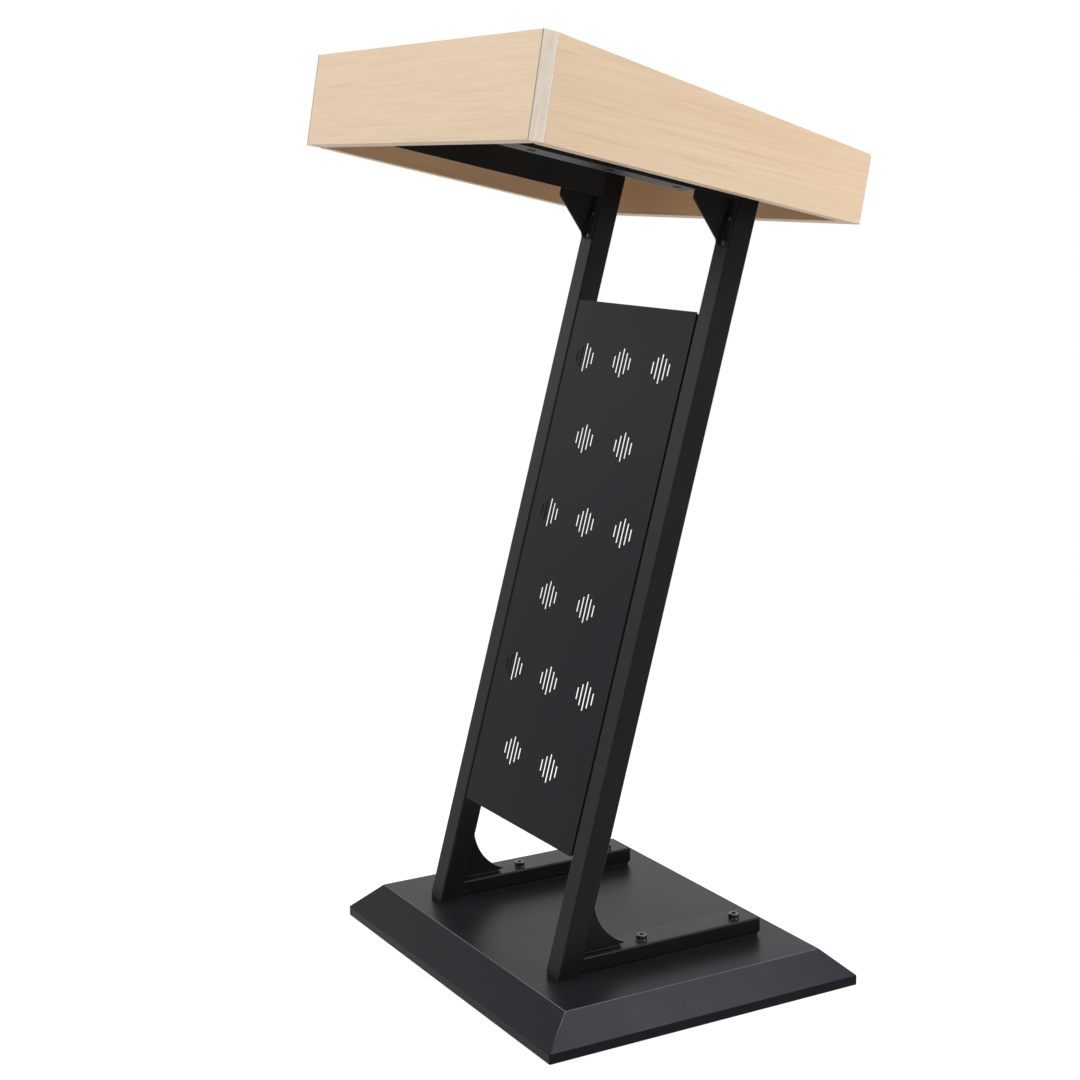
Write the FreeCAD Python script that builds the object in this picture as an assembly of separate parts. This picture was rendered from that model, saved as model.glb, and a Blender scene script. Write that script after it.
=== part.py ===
import FreeCAD, Part
import math
import os

V = FreeCAD.Vector
ACROSS = V(1, 0, 0)
BACKWARD = V(0, 1, 0)
UP = V(0, 0, 1)

# Whole: the origin is on the floor, under the middle of the whole from front to back
HEIGHT = 1163.6

# Base: a bevelled cover over a ballast slab, closed from below, on four pads
BASE_W = 545.0
BASE_D = 454.0
BASE_Y = 17.2
BASE_TOP = 47.0
RIM_BOTTOM = 1.0
RIM_TOP = 13.0
BEVEL_RUN_X = 29.5
BEVEL_RUN_Y = 39.0
COVER_T = 2.5
COVER_EDGE_R = 1.5
BALLAST_MARGIN_X = 52.5
BALLAST_MARGIN_Y = 62.0
BALLAST_T = 12.0
BOTTOM_Z = 3.4
BOTTOM_T = 2.0
BOTTOM_GAP = 0.5
PAD_D = 36.0
PAD_X = 225.0
PAD_Y = 180.0
SPACER_D = 12.0
SPACER_X = (-190.0, 0.0, 190.0)
SPACER_Y = 130.0
BASE_SCREW_D = 5.0
BASE_SCREW_HEAD_D = 9.5
BASE_SCREW_HEAD_H = 1.8
BASE_SCREW_BITE = 10.0

# Frame: two equal side frames on soles, each an upright with a wider foot and an angle-iron arm flush on its right
TUBE_W = 30.0
BAR_W = 40.0
TUBE_WALL = 2.0
TUBE_EDGE_R = 2.2
UPRIGHT_X = 153.5
UPRIGHT_Y = -137.3
UPRIGHT_DEPTH = 30.0
UPRIGHT_LEAN = 15.0
SOLE_T = 4.0
SOLE_INSET = 2.0
FOOT_H = 20.0
FOOT_REAR_Y = 165.5
CAP_T = 3.0
CAP_PLUG_L = 14.0
CAP_CLEAR = 0.2

# Foot bolts: socket-head bolts through foot, cover and ballast into nuts
BOLT_Y = (-3.8, 138.2)
BOLT_SIDE = -2.5
BOLT_D = 8.0
BOLT_HOLE_D = 9.0
BOLT_HEAD_D = 14.4
BOLT_HEAD_H = 6.0
BOLT_HEAD_EDGE = 0.8
BOLT_SOCKET_AF = 6.0
BOLT_SOCKET_DEPTH = 3.5
BOLT_TAIL = 3.0
NUT_AF = 13.0
NUT_H = 7.0
THREAD_CLEAR = 0.1
PILOT_OVER = 1.0

# Lower gussets: a web with a hollow curved edge on a flange along the foot
GUSSET_T = 8.0
GUSSET_R = 70.0
GUSSET_CENTRE_H = 70.0
GUSSET_TOE_H = 5.0
GUSSET_FLANGE_W = 14.0
GUSSET_FLANGE_T = 3.0
GUSSET_FLANGE_SHORT = 6.0

# Desk: four boards around a reading board, tilted toward the speaker
DESK_Y = -244.2
DESK_TILT = 11.87
DESK_W = 568.0
DESK_L = 457.0
FRONT_H = 115.4
FRONT_LEAN = 2.34
BACK_H = 81.6
BACK_LEAN = 1.5
WALL_T = 19.0
BAND_T = 1.0
BOARD_T = 18.0
BOARD_GAP = 0.2
REAR_CORNER_R = 5.0

# Arms: a web flush with the upright and a flange screwed to the reading board; the right one has a lower flange too
ARM_LOW = 8.5
ARM_H = 39.0
ARM_T = 3.0
ARM_FLANGE_W = 46.5
ARM_FRONT = 48.0
ARM_LOWER_REAR = 308.0
ARM_ACCESS_D = 11.5
DESK_SCREW_V = (85.0, 192.0, 288.0)
DESK_SCREW_D = 5.0
DESK_SCREW_HOLE_D = 5.4
DESK_SCREW_HEAD_D = 10.0
DESK_SCREW_HEAD_H = 3.0
DESK_SCREW_BITE = 14.0

# Upper brackets: a web with cut-off corners, and flanges on one side of it
BRACKET_T = 4.0
BRACKET_FLANGE_W = 16.0
BRACKET_FLANGE_T = 3.0
BRACKET_FRONT = 309.0
BRACKET_NOSE_H = -0.5
BRACKET_KNEE_V = 351.5
BRACKET_KNEE_H = -41.0
BRACKET_TIP_V = 354.0
BRACKET_TIP_H = -47.0
BRACKET_TAIL_H = -48.5
SCREW_D = 4.0
SCREW_HOLE_D = 4.2
SCREW_HEAD_D = 7.0
SCREW_HEAD_H = 2.2
SCREW_HEX_AF = 2.5
SCREW_HEX_DEPTH = 1.4
SCREW_BITE = 8.0
SCREW_SIDE = 8.0
SCREW_TAIL_RISE = 5.5
SCREW_CORNER_DROP = 22.0

# Panel: perforated sheet between the uprights, held on rails behind its sides
PANEL_LOW = 149.0
PANEL_HIGH = 831.0
PANEL_T = 1.0
PANEL_INSET = 0.2
PANEL_SIDE_GAP = 3.4
SLIT_W = 3.8
SLIT_PITCH = 8.8
SLIT_LENGTHS = (15.0, 27.0, 37.0, 27.0, 15.0)
PAIR_PITCH = 91.6
TRIPLE_PITCH = 88.4
CLUSTER_X = -3.0
CLUSTER_FIRST = 236.5
CLUSTER_RISE = 104.0
CLUSTER_ROWS = ((2, PAIR_PITCH), (3, TRIPLE_PITCH)) * 3
RAIL_W = 14.0
RAIL_T = 3.0
RAIL_SHORT = 2.0
STUD_S = (185.0, 490.0, 795.0)
STUD_D = 4.0
STUD_L = 10.0
STUD_HOLE_D = 4.5
STUD_NUT_AF = 7.0
STUD_NUT_H = 3.2

# Desk fittings: wooden dowels, and cam locks on bolts in the facing board
DOWEL_D = 8.0
DOWEL_L = 26.0
DOWEL_CLEAR = 0.1
FRONT_DOWEL_H = (20.0, 98.0)
BACK_DOWEL_H = (14.0, 70.0)
BOARD_DOWEL_V = (70.0, 230.0, 390.0)
CAM_D = 15.0
CAM_T = 13.5
CAM_SET = 24.0
CAM_BOLT_D = 6.0
CAM_BOLT_INTO = 11.0
CAM_CLEAR = 0.1
FRONT_CAM_H = 32.0
BACK_CAM_H = 30.0
BOARD_CAM_V = (120.0, 340.0)

# FAR outreaches the object; NEAR is the tolerance for picking edges
FAR = 2000.0
NEAR = 0.01
HEX_SIDES = 6
SIDES = (("left", -1.0), ("right", 1.0))


def block(x0, x1, y0, y1, z0, z1):
    return Part.makeBox(x1 - x0, y1 - y0, z1 - z0, V(x0, y0, z0))


def prism(points, x0, x1):
    """Solid with the given (y, z) outline, running along X."""
    ring = [V(x0, y, z) for y, z in points]
    face = Part.Face(Part.makePolygon(ring + ring[:1]))
    return face.extrude(V(x1 - x0, 0, 0))


def rod(diameter, length, start, axis):
    return Part.makeCylinder(diameter / 2.0, length, start, axis)


def drill(diameter, centre, axis, depth):
    """Cutter for a hole through a wall: reaches the given depth to both sides of the centre."""
    return rod(diameter, 2.0 * depth, centre - axis * depth, axis)


def hexagon(across, length, start, axis):
    """Hexagonal bar with the given width across flats."""
    corner = across / 2.0 / math.cos(math.pi / HEX_SIDES)
    turns = [math.tau * k / HEX_SIDES for k in range(HEX_SIDES)]
    ring = [V(corner * math.cos(a), corner * math.sin(a), 0) for a in turns]
    bar = Part.Face(Part.makePolygon(ring + ring[:1])).extrude(UP * length)
    bar.Placement = FreeCAD.Placement(start, FreeCAD.Rotation(UP, axis))
    return bar


def centred(count):
    """Places of a row of things, one step apart, about the row's middle."""
    return [k - (count - 1) / 2.0 for k in range(count)]


def cut_all(shape, tools):
    return shape.cut(Part.makeCompound(tools))


def desk_place(shape):
    """Moves a shape from desk terms (across, back, up from the tilted underside) to where it stands."""
    turn = FreeCAD.Rotation(ACROSS, -DESK_TILT)
    return shape.transformed(FreeCAD.Placement(V(0, DESK_Y, DESK_Z), turn).toMatrix())


def upright_place(shape):
    """Moves a shape from upright terms (across, behind the front face, up along it) to where it stands."""
    turn = FreeCAD.Rotation(ACROSS, -UPRIGHT_LEAN)
    return shape.transformed(FreeCAD.Placement(V(0, UPRIGHT_Y, BASE_TOP), turn).toMatrix())


def edges_along(shape, axis):
    return [e for e in shape.Edges if e.tangentAt(e.FirstParameter).cross(axis).Length < NEAR]


def tube(x0, x1, y0, y1, z0, z1, axis, end_wall=None):
    """Hollow rectangular tube with rounded long edges, solid where an end wall is given."""
    outer = block(x0, x1, y0, y1, z0, z1)
    outer = outer.makeFillet(TUBE_EDGE_R, edges_along(outer, axis))
    wall = V(TUBE_WALL, TUBE_WALL, TUBE_WALL) - axis * (2.0 * TUBE_WALL)
    low = V(x0, y0, z0) + wall
    high = V(x1, y1, z1) - wall
    hollow = block(low.x, high.x, low.y, high.y, low.z, high.z)
    return outer.cut(hollow.cut(end_wall) if end_wall else hollow)


def save(name, solids):
    """Writes one node; a list becomes a group of equal solids."""
    shape = Part.makeCompound(solids) if isinstance(solids, list) else solids
    shape.exportStep("parts/" + name + ".step")


os.makedirs("parts", exist_ok=True)

COVER_UNDER = BASE_TOP - COVER_T
BALLAST_LOW = COVER_UNDER - BALLAST_T
FRAME_LOW = BASE_TOP + SOLE_T
FOOT_TOP = FRAME_LOW + FOOT_H
ARM_TOP = ARM_LOW + ARM_H
BOARD_TOP = ARM_TOP + BOARD_T
HALF_TUBE = TUBE_W / 2.0
INNER_X = UPRIGHT_X - HALF_TUBE
TILT = math.radians(DESK_TILT)
LEAN = math.radians(UPRIGHT_LEAN)
FRONT_TILT = math.radians(FRONT_LEAN)
BACK_TAN = math.tan(math.radians(BACK_LEAN))
DESK_Z = HEIGHT - FRONT_H * math.cos(TILT - FRONT_TILT)


def upright_rear_y(z):
    """Rear face of the uprights at a height."""
    return UPRIGHT_Y + UPRIGHT_DEPTH / math.cos(LEAN) + (z - BASE_TOP) * math.tan(LEAN)


def upright_rise(v, h):
    """Distance up along the uprights of a point in desk terms."""
    y = DESK_Y + v * math.cos(TILT) + h * math.sin(TILT) - UPRIGHT_Y
    z = DESK_Z + h * math.cos(TILT) - v * math.sin(TILT) - BASE_TOP
    return y * math.sin(LEAN) + z * math.cos(LEAN)


behind_upright_front = upright_place(block(-FAR, FAR, 0.0, FAR, -FAR, FAR))
before_upright_rear = upright_place(block(-FAR, FAR, -FAR, UPRIGHT_DEPTH, -FAR, FAR))
foot_end_wall = upright_place(block(-FAR, FAR, -FAR, UPRIGHT_DEPTH + TUBE_WALL, -FAR, FAR))
above_arm_tops = desk_place(block(-FAR, FAR, -FAR, FAR, ARM_TOP, FAR))
above_arm_undersides = desk_place(block(-FAR, FAR, -FAR, FAR, ARM_LOW, FAR))
along_arms = desk_place(block(-FAR, FAR, -FAR, FAR, ARM_LOW, ARM_TOP))
along_feet = block(-FAR, FAR, -FAR, FAR, FRAME_LOW, FOOT_TOP)
below_frame = block(-FAR, FAR, -FAR, FAR, -FAR, FRAME_LOW)

foot_bolt_spots = [(side * UPRIGHT_X + BOLT_SIDE, y) for _, side in SIDES for y in BOLT_Y]
spacer_spots = [(x, BASE_Y + side * SPACER_Y) for x in SPACER_X for _, side in SIDES]
pad_spots = [(a * PAD_X, BASE_Y + b * PAD_Y) for _, a in SIDES for _, b in SIDES]
desk_screw_x = HALF_TUBE - ARM_FLANGE_W / 2.0
desk_screw_spots = [(side * UPRIGHT_X + desk_screw_x, v) for _, side in SIDES for v in DESK_SCREW_V]


def bevelled(half, run, inset):
    """Cross-section of the base, (across, up), drawn in by the given thickness on every face."""
    rise = BASE_TOP - RIM_TOP
    slope = math.hypot(run, rise)
    shoulder = RIM_TOP - inset * run / slope + (inset - inset * rise / slope) * rise / run
    crown = half - run - inset * rise / slope + (inset - inset * run / slope) * run / rise
    low = RIM_BOTTOM - inset
    top = BASE_TOP - inset
    side = half - inset
    return [(-side, low), (side, low), (side, shoulder), (crown, top), (-crown, top), (-side, shoulder)]


def bevelled_block(inset):
    """Solid of the base, drawn in by the given thickness."""
    quarter = FreeCAD.Placement(V(0, 0, 0), FreeCAD.Rotation(BACKWARD, ACROSS))
    along_x = prism(bevelled(BASE_D / 2.0, BEVEL_RUN_Y, inset), -BASE_W, BASE_W)
    along_y = prism(bevelled(BASE_W / 2.0, BEVEL_RUN_X, inset), -BASE_D, BASE_D)
    middle = along_x.common(along_y.transformed(quarter.toMatrix()))
    return middle.translated(BACKWARD * BASE_Y)


# Base cover
mass = bevelled_block(0.0)
upper_edges = [e for e in mass.Edges if e.BoundBox.ZMax > RIM_BOTTOM + COVER_T]
cover = mass.makeFillet(COVER_EDGE_R, upper_edges).cut(bevelled_block(COVER_T))
bolt_holes = [rod(BOLT_HOLE_D, FAR, V(x, y, 0), UP) for x, y in foot_bolt_spots]
save("base_cover", cut_all(cover, bolt_holes))

# Ballast slab under the cover, with tapped holes for the bottom screws
half_x = BASE_W / 2.0 - BALLAST_MARGIN_X
half_y = BASE_D / 2.0 - BALLAST_MARGIN_Y
slab = block(-half_x, half_x, BASE_Y - half_y, BASE_Y + half_y, BALLAST_LOW, COVER_UNDER)
screw_hole_d = BASE_SCREW_D + 2.0 * THREAD_CLEAR
screw_holes = [rod(screw_hole_d, BALLAST_LOW + BASE_SCREW_BITE + PILOT_OVER, V(x, y, 0), UP)
               for x, y in spacer_spots]
save("base_ballast", cut_all(slab, bolt_holes + screw_holes))

# Bottom plate, spacers, screws and pads
half_x = BASE_W / 2.0 - COVER_T - BOTTOM_GAP
half_y = BASE_D / 2.0 - COVER_T - BOTTOM_GAP
spacer_low = BOTTOM_Z + BOTTOM_T
lid = block(-half_x, half_x, BASE_Y - half_y, BASE_Y + half_y, BOTTOM_Z, spacer_low)
save("base_bottom", cut_all(lid, screw_holes))
spacers = []
base_screws = []
for (x, y), hole in zip(spacer_spots, screw_holes):
    seat = V(x, y, BOTTOM_Z)
    spacers.append(rod(SPACER_D, BALLAST_LOW - spacer_low, V(x, y, spacer_low), UP).cut(hole))
    shank = rod(BASE_SCREW_D, BALLAST_LOW - BOTTOM_Z + BASE_SCREW_BITE, seat, UP)
    base_screws.append(shank.fuse(rod(BASE_SCREW_HEAD_D, BASE_SCREW_HEAD_H, seat, -UP)))
save("base_spacers", spacers)
save("base_screws", base_screws)
save("base_pads", [rod(PAD_D, BOTTOM_Z, V(x, y, 0), UP) for x, y in pad_spots])

# Foot bolts and nuts
bolts = []
nuts = []
for x, y in foot_bolt_spots:
    seat = V(x, y, FOOT_TOP)
    shank = rod(BOLT_D, FOOT_TOP - BALLAST_LOW + NUT_H + BOLT_TAIL, seat, -UP)
    head = rod(BOLT_HEAD_D, BOLT_HEAD_H, seat, UP)
    crown_edges = [e for e in head.Edges if e.BoundBox.ZMin > FOOT_TOP + BOLT_SOCKET_DEPTH]
    head = head.makeChamfer(BOLT_HEAD_EDGE, crown_edges)
    socket = hexagon(BOLT_SOCKET_AF, BOLT_SOCKET_DEPTH, seat + UP * BOLT_HEAD_H, -UP)
    bolts.append(shank.fuse(head).cut(socket))
    nut_top = V(x, y, BALLAST_LOW)
    thread = rod(BOLT_D + 2.0 * THREAD_CLEAR, NUT_H, nut_top, -UP)
    nuts.append(hexagon(NUT_AF, NUT_H, nut_top, -UP).cut(thread))
save("foot_bolts", bolts)
save("foot_nuts", nuts)

# Where the upper brackets are screwed on: up along the upright, and back along the arm
tail_s = upright_rise(BRACKET_TIP_V, BRACKET_TAIL_H)
corner_s = upright_rise(BRACKET_TIP_V, ARM_LOW)
upright_screw_s = (tail_s + SCREW_TAIL_RISE, corner_s - SCREW_CORNER_DROP)
bracket_screws = []
soles = []


def button_screw(seat, axis):
    """Low-headed screw: its head sits at the seat, the axis points into the work."""
    shank = rod(SCREW_D, BRACKET_FLANGE_T + SCREW_BITE, seat, axis)
    head = rod(SCREW_HEAD_D, SCREW_HEAD_H, seat, -axis)
    key = hexagon(SCREW_HEX_AF, SCREW_HEX_DEPTH, seat - axis * SCREW_HEAD_H, axis)
    return shank.fuse(head).cut(key)


for name, side in SIDES:
    cx = side * UPRIGHT_X
    x0 = cx - HALF_TUBE
    x1 = cx + HALF_TUBE
    bar_x = x1 - BAR_W
    screw_x = cx + SCREW_SIDE

    # Upright, its rounded edges filled with weld where the foot and the arm meet it
    post = upright_place(tube(x0, x1, 0.0, UPRIGHT_DEPTH, -TUBE_W, FAR, UP))
    for weld_x in (x0, x1 - TUBE_EDGE_R):
        front_bead = block(weld_x, weld_x + TUBE_EDGE_R, 0.0, TUBE_EDGE_R, 0.0, FAR)
        rear_bead = block(weld_x, weld_x + TUBE_EDGE_R, UPRIGHT_DEPTH - TUBE_EDGE_R, UPRIGHT_DEPTH, -TUBE_W, FAR)
        post = post.fuse(upright_place(front_bead).common(along_arms))
        post = post.fuse(upright_place(rear_bead).common(along_feet))
    upright_holes = [upright_place(drill(SCREW_HOLE_D, V(screw_x, 0, s), BACKWARD, SCREW_BITE))
                     for s in upright_screw_s]
    save("upright_" + name, cut_all(post, [below_frame, above_arm_tops] + upright_holes).removeSplitter())

    # Foot and its plug
    bar = tube(bar_x, x1, UPRIGHT_Y, FOOT_REAR_Y, FRAME_LOW, FOOT_TOP, BACKWARD, foot_end_wall)
    save("foot_" + name, cut_all(bar, [before_upright_rear] + bolt_holes))
    inset = TUBE_WALL + CAP_CLEAR
    lip = block(bar_x, x1, FOOT_REAR_Y, FOOT_REAR_Y + CAP_T, FRAME_LOW, FOOT_TOP)
    plug = block(bar_x + inset, x1 - inset, FOOT_REAR_Y - CAP_PLUG_L, FOOT_REAR_Y,
                 FRAME_LOW + inset, FOOT_TOP - inset)
    save("foot_plug_" + name, lip.fuse(plug))

    # Sole under the upright and the foot
    foot_y = upright_rear_y(BASE_TOP)
    toe = block(x0 + SOLE_INSET, x1 - SOLE_INSET, UPRIGHT_Y + SOLE_INSET, foot_y, BASE_TOP, FRAME_LOW)
    sole = toe.fuse(block(bar_x + SOLE_INSET, x1 - SOLE_INSET, foot_y, FOOT_REAR_Y, BASE_TOP, FRAME_LOW))
    soles.append(cut_all(sole.removeSplitter(), bolt_holes))

    # Lower gusset: the curved edge runs into the upright's rear face
    flange_top = FOOT_TOP + GUSSET_FLANGE_T
    mid_z = FOOT_TOP + GUSSET_CENTRE_H
    mid_y = upright_rear_y(mid_z) + GUSSET_R / math.cos(LEAN)
    toe_angle = math.asin((GUSSET_CENTRE_H - GUSSET_TOE_H) / GUSSET_R)
    bend = [V(0, mid_y - GUSSET_R * math.cos(a), mid_z - GUSSET_R * math.sin(a))
            for a in (-LEAN, (toe_angle - LEAN) / 2.0, toe_angle)]
    head_point, _, toe_point = bend
    heel_point = V(0, upright_rear_y(flange_top), flange_top)
    sides = Part.makePolygon([toe_point, V(0, toe_point.y, flange_top), heel_point, head_point])
    web = Part.Face(Part.Wire([Part.Arc(*bend).toShape()] + sides.Edges)).extrude(ACROSS * GUSSET_T)
    web.translate(ACROSS * (cx - GUSSET_T / 2.0))
    half_flange = GUSSET_FLANGE_W / 2.0
    flange_y = toe_point.y - GUSSET_FLANGE_SHORT
    flange_outline = [(upright_rear_y(FOOT_TOP), FOOT_TOP), (flange_y, FOOT_TOP), (flange_y, flange_top),
                      (heel_point.y, flange_top)]
    flange = prism(flange_outline, cx - half_flange, cx + half_flange)
    save("gusset_" + name, web.fuse(flange).removeSplitter())

    # Arm: its web and its flange end at the upright; a lower flange has holes to reach the screws through
    flange_x = x1 - ARM_FLANGE_W
    arm = block(x1 - ARM_T, x1, ARM_FRONT, DESK_L, ARM_LOW, ARM_TOP)
    arm = arm.fuse(block(flange_x, x1, ARM_FRONT, DESK_L, ARM_TOP - ARM_T, ARM_TOP))
    arm_holes = [drill(DESK_SCREW_HOLE_D, V(cx + desk_screw_x, v, ARM_TOP), UP, SCREW_BITE) for v in DESK_SCREW_V]
    if side > 0:
        arm = arm.fuse(block(flange_x, x1, ARM_FRONT, ARM_LOWER_REAR, ARM_LOW, ARM_LOW + ARM_T))
        arm_holes += [drill(ARM_ACCESS_D, V(cx + desk_screw_x, v, ARM_LOW), UP, SCREW_BITE) for v in DESK_SCREW_V]
    save("arm_" + name, desk_place(cut_all(arm, arm_holes)).cut(behind_upright_front).removeSplitter())

    # Upper bracket: a web, a flange welded inside the arm and a flange screwed to the upright
    web_x = cx - BRACKET_T / 2.0
    web_outline = [(BRACKET_FRONT, ARM_LOW + BRACKET_FLANGE_T), (BRACKET_FRONT, BRACKET_NOSE_H),
                   (BRACKET_KNEE_V, BRACKET_KNEE_H), (BRACKET_TIP_V, BRACKET_TIP_H), (DESK_L, BRACKET_TIP_H),
                   (DESK_L, ARM_LOW + BRACKET_FLANGE_T)]
    web = prism(web_outline, web_x, web_x + BRACKET_T)
    arm_flange = block(web_x, x1 - ARM_T, BRACKET_FRONT, DESK_L, ARM_LOW, ARM_LOW + BRACKET_FLANGE_T)
    upright_flange = block(web_x, web_x + BRACKET_FLANGE_W, -BRACKET_FLANGE_T, 0.0, tail_s, corner_s)
    flange_side = upright_place(upright_flange).cut(above_arm_undersides)
    bracket = desk_place(web.fuse(arm_flange)).fuse(flange_side)
    save("bracket_" + name, cut_all(bracket, [behind_upright_front] + upright_holes).removeSplitter())
    bracket_screws += [upright_place(button_screw(V(screw_x, -BRACKET_FLANGE_T, s), BACKWARD))
                       for s in upright_screw_s]

save("bracket_screws", bracket_screws)
save("foot_soles", soles)

# Wood screws through the arms' flanges into the reading board
desk_screws = []
pilot_holes = []
for x, v in desk_screw_spots:
    seat = V(x, v, ARM_TOP - ARM_T)
    shank = rod(DESK_SCREW_D, ARM_T + DESK_SCREW_BITE, seat, UP)
    head = rod(DESK_SCREW_HEAD_D, DESK_SCREW_HEAD_H, seat, -UP)
    desk_screws.append(desk_place(shank.fuse(head)))
    pilot_d = DESK_SCREW_D + 2.0 * THREAD_CLEAR
    pilot_holes.append(rod(pilot_d, DESK_SCREW_BITE + PILOT_OVER, V(x, v, ARM_TOP), UP))
save("desk_screws", desk_screws)

# Panel with its slits: groups of upright slits in staggered rows
panel_x = INNER_X - PANEL_SIDE_GAP
rail_front = PANEL_INSET + PANEL_T
sheet = block(-panel_x, panel_x, PANEL_INSET, rail_front, PANEL_LOW, PANEL_HIGH)
slits = []
for row, (groups, pitch) in enumerate(CLUSTER_ROWS):
    s = CLUSTER_FIRST + row * CLUSTER_RISE
    for group in centred(groups):
        for place, length in zip(centred(len(SLIT_LENGTHS)), SLIT_LENGTHS):
            x = CLUSTER_X + group * pitch + place * SLIT_PITCH - SLIT_W / 2.0
            slits.append(block(x, x + SLIT_W, 0.0, rail_front + PANEL_T, s - length / 2.0, s + length / 2.0))
save("panel", upright_place(cut_all(sheet, slits)))

# Rails on the uprights, studs on the panel and their nuts
rail_inner = INNER_X - RAIL_W
stud_x = (panel_x + rail_inner) / 2.0
rails = []
studs = []
stud_nuts = []
for _, side in SIDES:
    rail_x = sorted((side * INNER_X, side * rail_inner))
    rail = block(rail_x[0], rail_x[1], rail_front, rail_front + RAIL_T, PANEL_LOW + RAIL_SHORT, PANEL_HIGH - RAIL_SHORT)
    for s in STUD_S:
        seat = V(side * stud_x, rail_front, s)
        rail = rail.cut(drill(STUD_HOLE_D, seat, BACKWARD, STUD_L))
        studs.append(upright_place(rod(STUD_D, STUD_L, seat, BACKWARD)))
        nut = hexagon(STUD_NUT_AF, STUD_NUT_H, seat + BACKWARD * RAIL_T, BACKWARD)
        thread = rod(STUD_D + 2.0 * THREAD_CLEAR, STUD_L, seat, BACKWARD)
        stud_nuts.append(upright_place(nut.cut(thread)))
    rails.append(upright_place(rail))
save("panel_rails", rails)
save("panel_studs", studs)
save("panel_nuts", stud_nuts)

# Desk outlines in (back, up) terms
front_out_top = (-FRONT_H * math.sin(FRONT_TILT), FRONT_H * math.cos(FRONT_TILT))
front_in_low = (WALL_T * math.cos(FRONT_TILT), WALL_T * math.sin(FRONT_TILT))
front_in_top = (front_out_top[0] + front_in_low[0], front_out_top[1] + front_in_low[1])


def front_in(h):
    """Inner face of the front board at a height."""
    return front_in_low[0] - (h - front_in_low[1]) * math.tan(FRONT_TILT)


def back_out(h):
    """Outer face of the back board at a height."""
    return DESK_L - h * BACK_TAN


def back_in(h):
    """Inner face of the back board at a height."""
    return back_out(h) - WALL_T


half_w = DESK_W / 2.0
inner_w = half_w - WALL_T
wall_mid = WALL_T / 2.0
board_mid = ARM_TOP + BOARD_T / 2.0
rear_top = (back_out(BACK_H), BACK_H)
top_slope = (front_in_top[1] - BACK_H) / (rear_top[0] - front_in_top[0])
back_in_top = BACK_H + WALL_T * top_slope
front_outline = [(0.0, 0.0), front_in_low, front_in_top, front_out_top]
side_outline = [(front_in(0.0), 0.0), (back_out(0.0), 0.0), rear_top, front_in_top]
back_outline = [(back_in(0.0), 0.0), (back_out(0.0), 0.0), rear_top, (back_in(back_in_top), back_in_top)]
board_outline = [(front_in(ARM_TOP) + BOARD_GAP, ARM_TOP), (back_in(ARM_TOP) - BOARD_GAP, ARM_TOP),
                 (back_in(BOARD_TOP) - BOARD_GAP, BOARD_TOP), (front_in(BOARD_TOP) + BOARD_GAP, BOARD_TOP)]

# Seams between the boards: a point on the seam and the way into the board that ends there
dowel_seams = []
cam_seams = []
for _, side in SIDES:
    inward = ACROSS * -side
    wall_x = side * (half_w - wall_mid)
    dowel_seams += [(V(wall_x, front_in(h), h), BACKWARD) for h in FRONT_DOWEL_H]
    dowel_seams += [(V(side * inner_w, back_in(h) + wall_mid, h), inward) for h in BACK_DOWEL_H]
    dowel_seams += [(V(side * inner_w, v, board_mid), inward) for v in BOARD_DOWEL_V]
    back_seam = V(side * inner_w, back_in(BACK_CAM_H) + wall_mid, BACK_CAM_H)
    cam_seams.append((V(wall_x, front_in(FRONT_CAM_H), FRONT_CAM_H), BACKWARD, inward * wall_mid))
    cam_seams.append((back_seam, inward, BACKWARD * -wall_mid))
    cam_seams += [(V(side * inner_w, v, board_mid), inward, UP * (-BOARD_T / 2.0)) for v in BOARD_CAM_V]

# Dowels, half in each board
dowels = []
bores = []
for seam, into in dowel_seams:
    dowels.append(desk_place(rod(DOWEL_D, DOWEL_L, seam - into * (DOWEL_L / 2.0), into)))
    bores.append(drill(DOWEL_D + 2.0 * DOWEL_CLEAR, seam, into, DOWEL_L / 2.0 + DOWEL_CLEAR))
save("dowels", dowels)

# Cam locks set in the hidden face, each with its bolt across the seam
cams = []
cam_bolts = []
for seam, into, to_face in cam_seams:
    mouth = seam + into * CAM_SET + to_face
    bolt_end = seam - into * CAM_BOLT_INTO
    bolt_l = CAM_BOLT_INTO + CAM_SET - CAM_D / 2.0 - CAM_CLEAR
    cams.append(desk_place(rod(CAM_D, CAM_T, mouth, -to_face)))
    cam_bolts.append(desk_place(rod(CAM_BOLT_D, bolt_l, bolt_end, into)))
    bores.append(rod(CAM_D + 2.0 * CAM_CLEAR, CAM_T + CAM_CLEAR, mouth, -to_face))
    bore_start = bolt_end - into * CAM_CLEAR
    bores.append(rod(CAM_BOLT_D + 2.0 * CAM_CLEAR, CAM_BOLT_INTO + CAM_SET, bore_start, into))
save("cam_locks", cams)
save("cam_bolts", cam_bolts)

# Desk boards
band_x = half_w - BAND_T
front = prism(front_outline, -band_x, band_x)
save("desk_front", desk_place(cut_all(front, bores)))
bands = [prism(front_outline, -half_w, -band_x), prism(front_outline, band_x, half_w)]
save("front_bands", [desk_place(b) for b in bands])
back = prism(back_outline, -inner_w, inner_w)
save("desk_back", desk_place(cut_all(back, bores)))
for name, side in SIDES:
    wall_x = sorted((side * half_w, side * inner_w))
    wall = prism(side_outline, wall_x[0], wall_x[1])
    rear_edges = [e for e in edges_along(wall, ACROSS) if e.BoundBox.YMin > rear_top[0] - NEAR]
    rear_corner = [e for e in rear_edges if e.BoundBox.ZMin > BACK_H - NEAR]
    wall = wall.makeFillet(REAR_CORNER_R, rear_corner)
    save("desk_" + name, desk_place(cut_all(wall, bores)))
board = prism(board_outline, -inner_w + BOARD_GAP, inner_w - BOARD_GAP)
save("desk_board", desk_place(cut_all(board, bores + pilot_holes)))
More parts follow.
